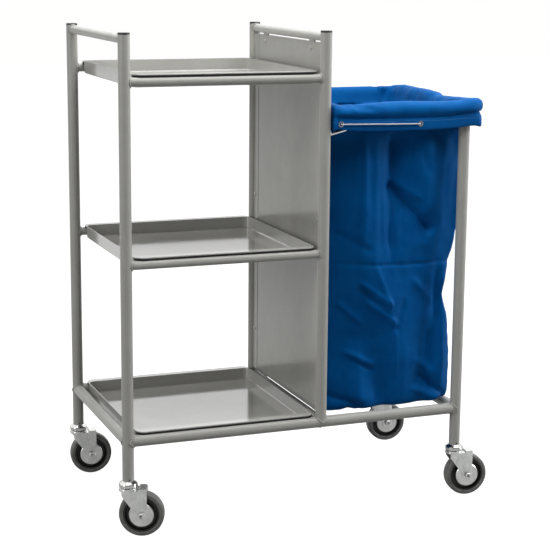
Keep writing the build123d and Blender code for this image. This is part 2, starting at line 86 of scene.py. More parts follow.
class Nodes:
    """A short way to write node trees: each call adds a node and gives back its first output."""

    def __init__(self, tree):
        self.tree = tree

    def add(self, kind, inputs=None, output=0, **props):
        node = self.tree.nodes.new(kind)
        for key, value in props.items():
            setattr(node, key, value)
        for key, value in (inputs or {}).items():
            socket = node.inputs[key]
            if isinstance(value, bpy.types.NodeSocket):
                self.tree.links.new(value, socket)
            else:
                socket.default_value = value
        return node.outputs[output]

    def noise(self, where, scale, detail=3.0, rough=0.5):
        return self.add("ShaderNodeTexNoise",
                        {"Vector": where, "Scale": scale, "Detail": detail, "Roughness": rough})

    def remap(self, value, a0, a1, b0, b1):
        return self.add("ShaderNodeMapRange",
                        {"Value": value, "From Min": a0, "From Max": a1, "To Min": b0, "To Max": b1})

    def mix(self, factor, a, b, blend="MIX"):
        node = self.tree.nodes.new("ShaderNodeMix")
        node.data_type = "RGBA"
        node.blend_type = blend
        for socket, value in ((node.inputs[0], factor), (node.inputs[6], a), (node.inputs[7], b)):
            if isinstance(value, bpy.types.NodeSocket):
                self.tree.links.new(value, socket)
            elif socket == node.inputs[0]:
                socket.default_value = value
            else:
                socket.default_value = (*value, 1.0)
        return node.outputs[2]

    def scale_colour(self, colour, amount):
        grey = self.add("ShaderNodeCombineColor", {0: amount, 1: amount, 2: amount})
        return self.mix(1.0, colour, grey, "MULTIPLY")

    def split(self, vector):
        """The node that gives a vector's X, Y and Z."""
        self.add("ShaderNodeSeparateXYZ", {"Vector": vector})
        return self.tree.nodes[-1]

    def math(self, operation, a, b=0.0):
        return self.add("ShaderNodeMath", {0: a, 1: b}, operation=operation)

    def bump(self, height, distance, strength=1.0, normal=None):
        inputs = {"Height": height, "Distance": distance, "Strength": strength}
        if normal is not None:
            inputs["Normal"] = normal
        return self.add("ShaderNodeBump", inputs)


def material(name):
    mat = bpy.data.materials.new(name)
    mat.use_nodes = True
    tree = mat.node_tree
    tree.nodes.clear()
    net = Nodes(tree)
    shader = tree.nodes.new("ShaderNodeBsdfPrincipled")
    out = tree.nodes.new("ShaderNodeOutputMaterial")
    tree.links.new(shader.outputs[0], out.inputs["Surface"])
    where = net.add("ShaderNodeTexCoord", output=3)
    return mat, net, shader, where


def plug(net, shader, **sockets):
    names = {"colour": "Base Color", "rough": "Roughness", "normal": "Normal", "metal": "Metallic",
             "specular": "Specular IOR Level", "coat": "Coat Weight", "coat_rough": "Coat Roughness",
             "sheen": "Sheen Weight", "sheen_rough": "Sheen Roughness", "ior": "IOR"}
    for key, value in sockets.items():
        socket = shader.inputs[names[key]]
        if isinstance(value, bpy.types.NodeSocket):
            net.tree.links.new(value, socket)
        elif key == "colour":
            socket.default_value = (*value, 1.0)
        else:
            socket.default_value = value


def powder_coat(name, light, dark, rough_low, rough_high, coat=0.0, specular=0.5):
    """Sprayed and baked paint: faint mottling, a fine orange peel and a little handling dirt."""
    mat, net, shader, where = material(name)
    mottle = net.noise(where, 14.0, 4.0, 0.6)
    specks = net.noise(where, 620.0, 2.0, 0.5)
    colour = net.mix(net.remap(mottle, 0.35, 0.65, 0.0, 1.0), dark, light)
    speck_tint = net.remap(specks, 0.30, 0.72, 0.94, 1.04)
    colour = net.scale_colour(colour, speck_tint)
    peel = net.noise(where, 430.0, 2.0, 0.45)
    normal = net.bump(peel, 0.00008, 0.30)
    rough = net.remap(net.noise(where, 40.0, 3.0), 0.3, 0.7, rough_low, rough_high)
    plug(net, shader, colour=colour, rough=rough, normal=normal, specular=specular, coat=coat,
         coat_rough=0.10)
    return mat


def plated(name, tint, rough_low, rough_high, grain=260.0, dull=0.25):
    """Bright plating with a patchy zinc bloom and fine draw marks."""
    mat, net, shader, where = material(name)
    bloom = net.noise(where, 55.0, 5.0, 0.65)
    dull_tint = tuple(c * (1 - dull) for c in tint)
    colour = net.mix(net.remap(bloom, 0.35, 0.70, 0.0, 1.0), tint, dull_tint)
    fine = net.noise(where, grain, 4.0, 0.6)
    patches = net.math("ADD", bloom, net.math("MULTIPLY", fine, 0.5))
    rough = net.remap(patches, 0.5, 1.0, rough_low, rough_high)
    normal = net.bump(fine, 0.00005, 0.35)
    plug(net, shader, colour=colour, rough=rough, normal=normal, metal=1.0)
    return mat


def plastic(name, light, dark, rough_low, rough_high, scale=900.0, depth=0.00006):
    """Moulded plastic or rubber with a fine grain and faint scuffs."""
    mat, net, shader, where = material(name)
    cloud = net.noise(where, 45.0, 4.0, 0.6)
    colour = net.mix(net.remap(cloud, 0.35, 0.65, 0.0, 1.0), dark, light)
    rough = net.remap(cloud, 0.3, 0.7, rough_low, rough_high)
    normal = net.bump(net.noise(where, scale, 2.0), depth, 0.5)
    plug(net, shader, colour=colour, rough=rough, normal=normal, specular=0.4)
    return mat


def tyre_rubber(name):
    """Grey moulded tyre: darker dusty tread, scuffed shoulders."""
    mat, net, shader, where = material(name)
    dust = net.noise(where, 70.0, 5.0, 0.7)
    base = net.mix(net.remap(dust, 0.38, 0.66, 0.0, 1.0), (0.120, 0.120, 0.115), (0.175, 0.173, 0.166))
    scuff = net.noise(net.add("ShaderNodeMapping", {"Vector": where, "Scale": (1.0, 1.0, 6.0)}), 60.0, 3.0)
    rough = net.remap(scuff, 0.35, 0.7, 0.42, 0.66)
    normal = net.bump(net.noise(where, 700.0, 3.0), 0.00010, 0.6)
    plug(net, shader, colour=base, rough=rough, normal=normal, specular=0.45)
    return mat


YARN_PITCH = 1.1 * MM


def cloth(name):
    """Plain woven polyester cotton: crossed yarns, slubs, fading on the folds."""
    mat, net, shader, where = material(name)
    axes = net.split(where)
    bands = []
    for value in (axes.outputs[2], net.math("ADD", axes.outputs[0], axes.outputs[1])):
        phase = net.math("MULTIPLY", value, pi / YARN_PITCH)
        bands.append(net.math("SINE", phase))
    weave = net.math("MULTIPLY", bands[0], bands[1])
    slub = net.noise(net.add("ShaderNodeMapping", {"Vector": where, "Scale": (1.0, 1.0, 0.12)}), 600.0, 3.0)
    height = net.math("ADD", net.math("MULTIPLY", weave, 0.5), slub)
    normal = net.bump(height, 0.00018, 0.55)
    fine = net.noise(where, 90.0, 4.0, 0.6)
    normal = net.bump(fine, 0.0008, 0.30, normal)
    fade = net.noise(where, 9.0, 5.0, 0.65)
    colour = net.mix(net.remap(fade, 0.35, 0.68, 0.0, 1.0), (0.0003, 0.074, 0.275), (0.0008, 0.100, 0.340))
    thread = net.remap(weave, -1.0, 1.0, 0.86, 1.10)
    colour = net.scale_colour(colour, thread)
    rough = net.remap(slub, 0.3, 0.7, 0.50, 0.66)
    plug(net, shader, colour=colour, rough=rough, normal=normal, specular=0.10, sheen=0.01, sheen_rough=0.4)
    shader.inputs["Specular Tint"].default_value = (0.25, 0.65, 1.0, 1.0)
    shader.inputs["Sheen Tint"].default_value = (0.10, 0.45, 1.0, 1.0)
    return mat


def thread_material():
    mat, net, shader, where = material("hem_thread")
    twist = net.noise(where, 1500.0, 2.0)
    plug(net, shader, colour=net.mix(twist, (0.05, 0.17, 0.38), (0.12, 0.30, 0.56)), rough=0.6, specular=0.2)
    return mat


def braid(name):
    """Twisted pale cord."""
    mat, net, shader, where = material(name)
    wave = net.add("ShaderNodeTexWave", {"Vector": where, "Scale": 420.0, "Distortion": 1.2, "Detail": 2.0},
                   output=1, bands_direction="DIAGONAL")
    colour = net.mix(net.remap(wave, 0.0, 1.0, 0.0, 1.0), (0.46, 0.49, 0.55), (0.74, 0.77, 0.84))
    normal = net.bump(wave, 0.0003, 0.7)
    plug(net, shader, colour=colour, rough=0.62, normal=normal, specular=0.3, sheen=0.2)
    return mat


MAT = {
    "frame_paint": powder_coat("frame_paint", (0.400, 0.398, 0.375), (0.372, 0.369, 0.347),
                               0.28, 0.40, specular=0.27),
    # Painted shade: the divider panel's paint is the trays' paint made darker, for the shade the panel stands
    # in.
    "panel_paint": powder_coat("panel_paint", (0.370, 0.368, 0.346), (0.343, 0.341, 0.320),
                               0.14, 0.21, specular=0.20),
    "tray_paint": powder_coat("tray_paint", (0.435, 0.433, 0.411), (0.408, 0.405, 0.384),
                               0.08, 0.15, coat=0.35),
    "cap_plastic": plastic("cap_plastic", (0.014, 0.014, 0.014), (0.007, 0.007, 0.007), 0.35, 0.5),
    # Painted shadow: the near-black strip under the trays' front flanges stands for the dark gap between
    # flange and rail.
    "strip_rubber": plastic("strip_rubber", (0.010, 0.010, 0.010), (0.005, 0.005, 0.005), 0.5, 0.7),
    "screw_steel": plated("screw_steel", (0.50, 0.49, 0.46), 0.25, 0.42),
    "screw_black": plated("screw_black", (0.10, 0.10, 0.10), 0.30, 0.45),
    "hoop_chrome": plated("hoop_chrome", (0.86, 0.86, 0.86), 0.12, 0.24, dull=0.08),
    "eyelet_nickel": plated("eyelet_nickel", (0.52, 0.52, 0.54), 0.16, 0.3, dull=0.35),
    "cord": braid("cord"),
    "caster_zinc": plated("caster_zinc", (0.70, 0.71, 0.695), 0.20, 0.34),
    "caster_head_zinc": plated("caster_head_zinc", (0.60, 0.60, 0.585), 0.10, 0.20),
    "axle_zinc": plated("axle_zinc", (0.66, 0.66, 0.64), 0.25, 0.4),
    "guard_zinc": plated("guard_zinc", (0.72, 0.72, 0.705), 0.26, 0.40),
    "wheel_plastic": plastic("wheel_plastic", (0.018, 0.018, 0.018), (0.010, 0.010, 0.010), 0.35, 0.5),
    "tyre_rubber": tyre_rubber("tyre_rubber"),
    "ball_steel": plated("ball_steel", (0.8, 0.8, 0.8), 0.1, 0.2),
    "bag_cloth": cloth("bag_cloth"),
}
for part in frame["record"]["subparts"]:
    mesh = NODES[part["node"]].data
    mesh.materials.clear()
    finish = "screw_black" if part["node"] == "stem_screws" else part["material_slot"]
    mesh.materials.append(MAT[finish])


# ---- weld beads ----

BEAD_RADIUS = 1.6 * MM

def bead(line, radius, seed):
    """Vertices and faces of a rippled bead along a closed list of points."""
    n = len(line)
    sides = 8
    verts, faces = [], []
    for i, p in enumerate(line):
        ahead = line[(i + 1) % n] - line[i - 1]
        ahead.normalize()
        side = ahead.cross(Vector((0.123, 0.456, 0.88))).normalized()
        up = ahead.cross(side)
        ripple = 1 + 0.10 * sin(i * 1.9 + seed) + 0.10 * noise.noise(Vector((i * 0.35, seed, 0)))
        for k in range(sides):
            a = tau * k / sides
            verts.append(p + (side * cos(a) + up * sin(a)) * radius * ripple)
    for i in range(n):
        for k in range(sides):
            a, b = i * sides + k, i * sides + (k + 1) % sides
            c, d = ((i + 1) % n) * sides + (k + 1) % sides, ((i + 1) % n) * sides + k
            faces.append((a, b, c, d))
    return verts, faces


def saddle(centre_point, along, post_axis, rail_r, post_r, count=64):
    """The closed line where a rail that leaves along `along` meets a post."""
    along, post_axis = Vector(along), Vector(post_axis)
    across = along.cross(post_axis)
    points = []
    for i in range(count):
        a = tau * i / count
        lateral = rail_r * cos(a)
        reach = sqrt(max(post_r ** 2 - lateral ** 2, 0.0))
        grow = 1.0 + 0.9 * MM / rail_r
        points.append(centre_point + across * lateral * grow + post_axis * rail_r * sin(a) * grow
                      + along * (reach + 0.5 * MM))
    return points


def half(node, axis):
    low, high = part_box(node)
    return (high[axis] - low[axis]) / 2


def make_welds():
    verts, faces = [], []
    post_r = half("post_front_left", 0)
    joints = []
    for node, posts in (
            ("handle_left", ("post_front_left", "post_rear_left")),
            ("handle_mid", ("post_front_mid", "post_rear_mid")),
            ("base_rail_left", ("post_front_left", "post_rear_left")),
            ("base_rail_right", ("post_front_right", "post_rear_right"))):
        z, r = centre(node).z, half(node, 0)
        for post, way in zip(posts, (1, -1)):
            c = centre(post)
            joints.append((Vector((c.x, c.y, z)), (0, way, 0), (0, 0, 1), r, post_r))
    for node, posts in (
            ("top_shelf_rail_front", ("post_front_left", "post_front_mid")),
            ("top_shelf_rail_rear", ("post_rear_left", "post_rear_mid")),
            ("middle_shelf_rail_front", ("post_front_left", "post_front_mid")),
            ("middle_shelf_rail_rear", ("post_rear_left", "post_rear_mid")),
            ("base_rail_front", ("post_front_left", "post_front_right")),
            ("base_rail_rear", ("post_rear_left", "post_rear_right"))):
        z, r = centre(node).z, half(node, 1)
        for post, way in zip(posts, (1, -1)):
            c = centre(post)
            joints.append((Vector((c.x, c.y, z)), (way, 0, 0), (0, 0, 1), r, post_r))
    base_z = centre("base_rail_front").z
    for post, way in (("post_front_mid", 1), ("post_rear_mid", -1)):
        c = centre(post)
        joints.append((Vector((c.x, c.y, base_z)), (0, 0, 1), (1, 0, 0), post_r, post_r))
        joints.append((Vector((c.x, c.y, base_z)), (0, way, 0), (1, 0, 0), post_r, post_r))
    for i, (point, along, axis, rail_r, joint_r) in enumerate(joints):
        line = saddle(point, along, axis, rail_r, joint_r)
        v, f = bead(line, BEAD_RADIUS, i * 1.7)
        start = len(verts)
        verts += v
        faces += [tuple(start + k for k in face) for face in f]
    mesh_piece("weld_beads", verts, faces, material=MAT["frame_paint"])


make_welds()


# ---- laundry bag ----

# The outline that the rim's offsets start from: left X, right X, front Y and rear Y.
RING = (MID_X + 25.0, RIGHT_X + 27.0, 0.0, REAR_Y)
# How far the hem's face stands in front of that outline, just behind the eyelets' flanges.
HEM_FACE = -(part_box("bag_eyelets")[0].y - ORIGIN.y) / MM - 1.05
BODY_LEFT, BODY_FRONT, BODY_REAR = 474.0, 26.0, REAR_Y - 24.0
BODY_TOP, BODY_BOTTOM, BODY_STEPS = 888.0, 236.0, 150
NECK_STEPS = 12
SACK_CORNERS = (20.0, 9.0, 22.0, 22.0)
EYELET_X = (481.5, 673.5)
N_FRONT, N_SIDE, N_CORNER = 56, 70, 6

FOLD_GAIN, LINE_GAIN = 1.12, 1.5

# Folds of the front face, as millimetres forwards: one row per height, one column per X.
FOLD_X = (474, 500, 530, 560, 590, 612, 628, 640, 665, 690, 712, 735, 752, 768, 790)
FOLD_ROWS = (
    (226, (-18, -10, -4, 1, 0, -3, -3, 0, 3, 3, 1, 0, 1, 0, -8)),
    (250, (-22, -14, -2, 7, 1, -8, -6, 3, 11, 7, 0, -5, 2, 5, -6)),
    (287, (-27, -19, -6, 4, -3, -9, -2, 6, 14, 8, -6, -1, 6, 7, -6)),
    (333, (-29, -24, -14, -2, -6, -4, 4, 12, 16, 11, 2, -9, 3, 7, -6)),
    (390, (-30, -26, -19, -11, -4, 4, 11, 16, 15, 12, 6, -6, -2, 6, -6)),
    (430, (-31, -27, -19, -10, -1, 7, 12, 16, 14, 11, 8, 0, -8, 2, -6)),
    (480, (-32, -27, -18, -8, 3, 11, 15, 14, 12, 10, 8, 0, -9, 1, -10)),
    (520, (-32, -26, -16, -5, 8, 13, 12, 11, 10, 9, 8, 2, -8, 3, -8)),
    (562, (-32, -25, -14, -1, 8, 9, 7, 8, 8, 8, 7, 3, -3, -4, -11)),
    (585, (-32, -25, -12, 2, 8, 5, 2, 5, 9, 10, 8, 5, 0, -3, -7)),
    (610, (-32, -25, -11, 5, 8, 2, -5, 0, 8, 10, 8, 6, 2, -1, -4)),
    (640, (-32, -25, -10, 7, 8, 1, -7, -3, 4, 3, -1, 4, 4, 0, -3)),
    (690, (-32, -25, -10, 8, 8, 0, -10, -9, -6, 2, 15, 14, 7, 0, -3)),
    (735, (-32, -25, -10, 8, 8, 0, -12, -9, -1, 8, 18, 16, 7, 0, -3)),
    (780, (-32, -25, -10, 8, 8, 0, -12, -10, 0, 12, 20, 16, 7, 1, -3)),
    (845, (-30, -23, -9, 6, 6, -1, -11, -9, 1, 12, 18, 13, 6, 1, -3)),
    (885, (-14, -10, -4, 2, 2, -1, -6, -4, 0, 5, 8, 5, 2, 0, -2)),
)
# Narrow folds: start (X, Z), end (X, Z), height, width. Negative heights are creases.
FOLD_LINES = (
    ((629, 742), (727, 640), -9.0, 12.0),
    ((634, 754), (690, 714), 4.5, 8.0),
    ((705, 811), (713, 776), -4.0, 7.0),
    ((568, 515), (626, 471), 4.5, 6.0),
    ((584, 470), (640, 426), 4.5, 6.0),
    ((566, 500), (614, 468), -3.0, 6.0),
    ((536, 355), (594, 327), 4.0, 7.0),
    ((540, 343), (590, 316), -3.0, 6.0),
    ((486, 262), (560, 236), -5.0, 8.0),
    ((700, 262), (760, 232), 5.0, 8.0),
    ((717, 290), (777, 238), -6.0, 8.0),
    ((700, 330), (742, 300), 3.0, 7.0),
    ((628, 870), (632, 575), -2.0, 3.0),
    ((588, 563), (786, 560), -2.8, 2.8),
    ((500, 566), (588, 563), -1.5, 4.0),
    ((591, 560), (624, 478), 2.6, 4.0),
    ((624, 478), (640, 400), 2.6, 4.0),
    ((640, 400), (650, 240), 3.0, 4.0),
    ((515, 470), (560, 430), 2.6, 6.0),
    ((660, 470), (640, 405), -2.5, 6.0),
    ((690, 520), (735, 470), 3.0, 7.0),
    ((500, 640), (570, 600), -2.0, 7.0),
    ((655, 690), (640, 610), 2.4, 6.0),
)
RIGHT_EDGE = ((226, 789), (240, 794), (266, 795.5), (347, 793.5), (400, 790), (436, 784), (482, 771),
              (520, 779), (573, 790), (610, 799), (640, 804), (700, 806), (850, 805), (885, 798))
BOTTOM_EDGE = ((474, 218), (515, 221), (532, 226), (550, 221), (585, 221), (730, 226), (790, 229))


def table(pairs, value):
    xs, ys = zip(*pairs)
    return np.interp(value, xs, ys)


def line_folds(x, z):
    total = np.zeros_like(x)
    for (xa, za), (xb, zb), rise, width in FOLD_LINES:
        dx, dz = xb - xa, zb - za
        length = hypot(dx, dz)
        along = ((x - xa) * dx + (z - za) * dz) / length
        off = ((x - xa) * dz - (z - za) * dx) / length
        ends = np.clip((along + 14) / 14, 0, 1) * np.clip((length + 14 - along) / 14, 0, 1)
        total += LINE_GAIN * rise * np.exp(-np.abs(off / width) ** 1.5) * ends
    return total


def fold_field():
    """The folds on a 2 mm grid, rounded a little as cloth is."""
    xs = np.arange(460.0, 806.0, 2.0)
    zs = np.arange(210.0, 902.0, 2.0)
    heights = np.array([np.interp(xs, FOLD_X, row) for _, row in FOLD_ROWS])
    levels = [z for z, _ in FOLD_ROWS]
    grid = np.array([np.interp(zs, levels, heights[:, i]) for i in range(len(xs))])
    kernel = np.exp(-0.5 * (np.arange(-6, 7) * 2.0 / 3.6) ** 2)
    kernel /= kernel.sum()
    padded = np.pad(grid, 6, mode="edge")
    padded = np.apply_along_axis(lambda v: np.convolve(v, kernel, "valid"), 0, padded)
    padded = np.apply_along_axis(lambda v: np.convolve(v, kernel, "valid"), 1, padded)
    gx, gz = np.meshgrid(xs, zs, indexing="ij")
    return xs, zs, FOLD_GAIN * padded + line_folds(gx, gz)


FOLDS = fold_field()


def fold_at(x, z):
    xs, zs, grid = FOLDS
    i = np.clip((np.asarray(x) - xs[0]) / 2.0, 0, len(xs) - 1.001)
    j = np.clip((np.asarray(z) - zs[0]) / 2.0, 0, len(zs) - 1.001)
    i0, j0 = i.astype(int), j.astype(int)
    fx, fz = i - i0, j - j0
    return ((grid[i0, j0] * (1 - fx) + grid[i0 + 1, j0] * fx) * (1 - fz)
            + (grid[i0, j0 + 1] * (1 - fx) + grid[i0 + 1, j0 + 1] * fx) * fz)


def ring(x0, x1, y0, y1, radii):
    """A closed rounded rectangle from its front left corner round to the right: points, outward
    directions, and for each point its face (0 front, 1 right, 2 rear, 3 left) with a fade of 1 on
    the face and 0 in the middle of a corner."""
    fl, fr, br, bl = radii
    sides = (((x0 + fl, y0), (x1 - fr, y0), N_FRONT, -90), ((x1, y0 + fr), (x1, y1 - br), N_SIDE, 0),
             ((x1 - br, y1), (x0 + bl, y1), N_FRONT, 90), ((x0, y1 - bl), (x0, y0 + fl), N_SIDE, 180))
    corners = ((x1 - fr, y0 + fr, fr), (x1 - br, y1 - br, br), (x0 + bl, y1 - bl, bl), (x0 + fl, y0 + fl, fl))
    points, outward, face, fade = [], [], [], []
    for k, ((start, end, count, angle), (cx, cy, r)) in enumerate(zip(sides, corners)):
        a = radians(angle)
        for i in range(count):
            t = i / count
            points.append((start[0] + (end[0] - start[0]) * t, start[1] + (end[1] - start[1]) * t))
            outward.append((cos(a), sin(a)))
            face.append(k)
            fade.append(min(1.0, 8 * t, 8 * (1 - t) + 0.001))
        for i in range(N_CORNER):
            b = a + (pi / 2) * i / N_CORNER
            points.append((cx + r * cos(b), cy + r * sin(b)))
            outward.append((cos(b), sin(b)))
            face.append(k if i < N_CORNER / 2 else (k + 1) % 4)
            fade.append(0.0)
    return np.array(points), np.array(outward), np.array(face), np.array(fade)


def around(front, right, rear, left, outward):
    """A value for each column, blended from one value per side by which way the column faces."""
    weights = np.stack([np.clip(-outward[:, 1], 0, 1), np.clip(outward[:, 0], 0, 1),
                        np.clip(outward[:, 1], 0, 1), np.clip(-outward[:, 0], 0, 1)]) ** 2
    return (weights.T * np.array([front, right, rear, left])).sum(1) / weights.sum(0)


# The rim from the hem's inner edge, down round the hem, up the outside, over the hoop and down inside.
# Each row: (outward offset from the hoop, height) for front, right, rear and left.
RIM = (
    ((HEM_FACE - 2.6, 893), (9, 890), (13.6, 890), (6, 890)),
    ((HEM_FACE - 2.6, 884), (9, 883), (13.6, 883), (6, 883)),
    ((HEM_FACE - 2.5, 876), (9, 876), (13.6, 876), (6, 877)),
    ((HEM_FACE - 1.9, 872.6), (9.4, 873), (14.6, 873), (6.6, 875)),
    ((HEM_FACE - 0.9, 871.8), (10.4, 872.4), (17.2, 872.2), (7.6, 874.4)),
    ((HEM_FACE - 0.2, 873.5), (10.9, 874), (20.0, 873.6), (8.2, 876)),
    ((HEM_FACE, 879), (11, 879), (21.2, 879), (8.4, 880)),
    ((HEM_FACE, 886), (11, 886), (21.4, 886), (8.4, 886)),
    ((HEM_FACE, 892), (10.8, 893), (21.2, 893), (8.4, 892)),
    ((HEM_FACE - 1.2, 895.6), (10.0, 897), (20.2, 898), (8.0, 897)),
    ((HEM_FACE - 3.6, 898.2), (8.8, 900), (18.8, 902), (7.4, 901)),
    ((HEM_FACE - 3.9, 900.6), (8.8, 902.5), (17.8, 905), (7.2, 904)),
    ((HEM_FACE - 1.4, 902.8), (11.4, 905), (17.4, 908), (7.6, 907)),
    ((HEM_FACE + 1.8, 905.6), (16.4, 908.5), (17.2, 911.5), (8.0, 910)),
    ((HEM_FACE + 4.2, 909.8), (19.6, 912.5), (17.2, 915), (8.4, 913.5)),
    ((HEM_FACE + 5.1, 915.0), (21.2, 917.5), (16.4, 918.6), (8.4, 917.5)),
    ((HEM_FACE + 4.3, 920.6), (21.0, 923), (14.6, 922), (8.2, 921.5)),
    ((HEM_FACE + 1.8, 926.0), (18.6, 928.5), (11.4, 925), (7.2, 925.5)),
    ((HEM_FACE - 2.4, 930.6), (14.0, 932.6), (7.0, 927.2), (4.8, 928.8)),
    ((HEM_FACE - 8.0, 933.8), (7.2, 934.8), (1.6, 928.4), (0.6, 930.8)),
    ((HEM_FACE - 14.0, 935.0), (-1.4, 934.6), (-3.6, 927.8), (-3.8, 930.8)),
    ((HEM_FACE - 20.2, 934.2), (-6.6, 931.8), (-7.6, 924.8), (-7.2, 928.2)),
    ((HEM_FACE - 26.0, 930.8), (-10.6, 927.0), (-10.2, 919.8), (-9.2, 923.4)),
    ((HEM_FACE - 30.6, 925.2), (-13.6, 921.0), (-12.2, 913.5), (-10.0, 917)),
    ((HEM_FACE - 34.0, 918.2), (-15.6, 914.5), (-14.0, 907), (-10.2, 911)),
    ((HEM_FACE - 36.2, 910.0), (-17.4, 907.5), (-15.6, 900.5), (-10.4, 905)),
    ((HEM_FACE - 38.4, 902.5), (-20.0, 900.5), (-17.8, 894.5), (-10.2, 899)),
    ((HEM_FACE - 41.0, 895.5), (-24.0, 893.5), (-20.2, 888.5), (-9.0, 893)),
)
POST_CLEARANCE = 14.4


def clear_posts(points, inside):
    """Pushes a ring's points off the two right posts, inwards for the inner rings."""
    for py in (0.0, REAR_Y):
        away = points - np.array([RIGHT_X, py])
        near = np.linalg.norm(away, axis=1)
        inward = np.array([-0.7071, 0.7071 if py == 0.0 else -0.7071])
        close = near < POST_CLEARANCE
        for i in np.nonzero(close)[0]:
            along = inward if inside else -inward
            side = away[i] - along * np.dot(away[i], along)
            reach = max(POST_CLEARANCE ** 2 - float(np.dot(side, side)), 0.0) ** 0.5
            points[i] = np.array([RIGHT_X, py]) + side + along * reach
    return points


def noise_row(points, z, scale, amount, seed):
    out = np.empty(len(points))
    for i, (x, y) in enumerate(points):
        out[i] = noise.noise(Vector((x / scale, y / scale, z / scale + seed)))
    return out * amount


# Heights along the front of the rim, left to right: X, rise.
CREST_RISE = ((474, -4.5), (500, -4.0), (520, -4.5), (560, -3.0), (590, -0.5), (642, 0.0), (690, -1.5),
              (730, -2.5), (775, -1.5), (800, 2.0), (820, 4.5), (845, 4.5))
PINCH_RISE = ((474, 8.0), (515, 4.0), (560, 1.5), (600, 0.0), (740, 0.0), (756, 4.0), (771, 7.0), (798, 8.5),
              (816, 7.0), (845, 6.0))
HEM_RISE = ((474, 7.0), (500, 4.0), (530, 1.5), (560, 0.0), (720, 0.0), (770, 2.6), (800, 5.5), (845, 5.0))
# The right rim, front to rear: Y, rise.
RIM_SLACK = ((0, 0.0), (35, -2.0), (90, -3.5), (130, -6.0), (190, -8.0), (213, -2.0), (245, 0.5), (350, 0.5),
             (386, 1.4), (434, -3.0), (466, -4.0))
# Pleats of the rim where it bunches up by the rear right post: X, Y, depth, half width.
PLEATS = ((778, 448, 7.0, 5.5), (797, 446, 6.0, 5.0), (816, 418, 6.5, 6.0))

# Small creases at the left end of the roll: X, slant, height, half width.
CRUMPLES = ((494, 0.5, -1.6, 3.5), (507, 0.8, 1.6, 4.0), (521, 1.0, -1.6, 4.0), (545, 1.5, -1.2, 7.0))


# Rows of RIM: those below ROLL_ROW are the hem, those from INNER_ROW on are inside the bag, and the
# first TUCKED_ROWS are the hem's hidden edge.
TUCKED_ROWS, ROLL_ROW, INNER_ROW = 3, 12, 20
HEM_CORNER, REAR_HEM_CORNER = 17.0, 16.0


def rim_outline(k):
    """The plain ring of one row of RIM: points, outward directions and heights."""
    (out_front, z_front), (out_right, z_right), (out_rear, z_rear), (out_left, z_left) = RIM[k]
    x0, x1, y0, y1 = RING
    front_left = 11.0 if out_front > 0 else 16.0
    front_right = HEM_CORNER if k < ROLL_ROW else max(14.0, 22 + out_right)
    rear_right = REAR_HEM_CORNER if k < ROLL_ROW else max(14.0, 22 + out_rear)
    corners = (front_left, front_right, rear_right, max(10.0, 16 + out_left))
    points, outward, *_ = ring(x0 - out_left, x1 + out_right, y0 - out_front, y1 + out_rear, corners)
    return points, outward, around(z_front, z_right, z_rear, z_left, outward)


def rim_row(k):
    """One ring of the rim with its slack, creases and pleats, as points in layout millimetres."""
    points, outward, z = rim_outline(k)
    x, y = points[:, 0].copy(), points[:, 1].copy()
    front = np.clip(-outward[:, 1], 0, 1)
    right = np.clip(outward[:, 0], 0, 1)
    over = np.clip((z - 903) / 22, 0, 1)
    waist = np.exp(-((z - 900) / 7.0) ** 2)
    low = np.clip((886 - z) / 12, 0, 1)
    z = z + front * (over * table(CREST_RISE, x) + waist * table(PINCH_RISE, x) + low * table(HEM_RISE, x))
    z = z + right * over * table(RIM_SLACK, y)
    # Crumples at the left end of the roll, and pleats by the rear right post.
    inner = k >= INNER_ROW
    for cx, slant, rise, width in CRUMPLES:
        bend = np.exp(-((x - cx + (z - 925) * slant) / width) ** 2)
        points = points + outward * (front * over * bend * rise)[:, None]
        z = z + front * over * bend * rise * 0.5
    groove = np.exp(-((z - 934 + (x - 470) * 0.17) / 4.0) ** 2) * np.clip((575 - x) / 30, 0, 1)
    points = points - outward * (4.5 * groove * front * over * (not inner))[:, None]
    for px, py, deep, width in PLEATS:
        gap = np.hypot(x - px, y - py) / width
        crease = np.exp(-gap ** 2)
        points = points - outward * (over * crease * deep * (-1.0 if inner else 1.0))[:, None]
        z = z - over * crease * deep * 0.5
    ripple = np.sin(y / 10.5 + 0.4) + 0.3 * np.sin(y / 4.7)
    sway = 1.3 * ripple * right * np.clip((y - 60) / 60, 0, 1) * np.clip((430 - y) / 40, 0, 1)
    points = points + outward * (sway * (0.25 + 0.75 * over))[:, None]
    wave = front * over * (0.9 * np.sin((x - 470) / 34.0) + 0.5 * np.sin((x - 470) / 13.0 + 1.3))
    height = float(np.mean(z))
    slack = noise_row(points, height, 46.0, 2.0, 3.1) + noise_row(points, height, 17.0, 1.0, 8.4)
    steady = np.ones(len(x))
    for ex in EYELET_X:
        steady *= 1 - np.exp(-((x - ex) / 14.0) ** 2) * front * (1 - over)
    limit = np.where((x < RING[0] + 4) & ((y < 30) | (y > REAR_Y - 30)), 0.25, 1.0)
    push = wave + slack * steady * limit * (0.30 + 0.70 * over)
    # The stitched edge puckers a little between its stitches.
    push = push + front * waist * steady * 0.45 * np.sin(x / 2.1)
    points = points + outward * push[:, None]
    points = clear_posts(points, inner or k < TUCKED_ROWS)
    return np.column_stack([points, z])


# The right, rear and left sides take the front's folds, moved along X and Z and made shallower.
SIDE_SHIFT = np.array([0.0, 37.0, 0.0, -52.0])
SIDE_DROP = np.array([0.0, 24.0, -31.0, 12.0])
SIDE_GAIN = np.array([0.0, 0.45, 0.7, 0.35])


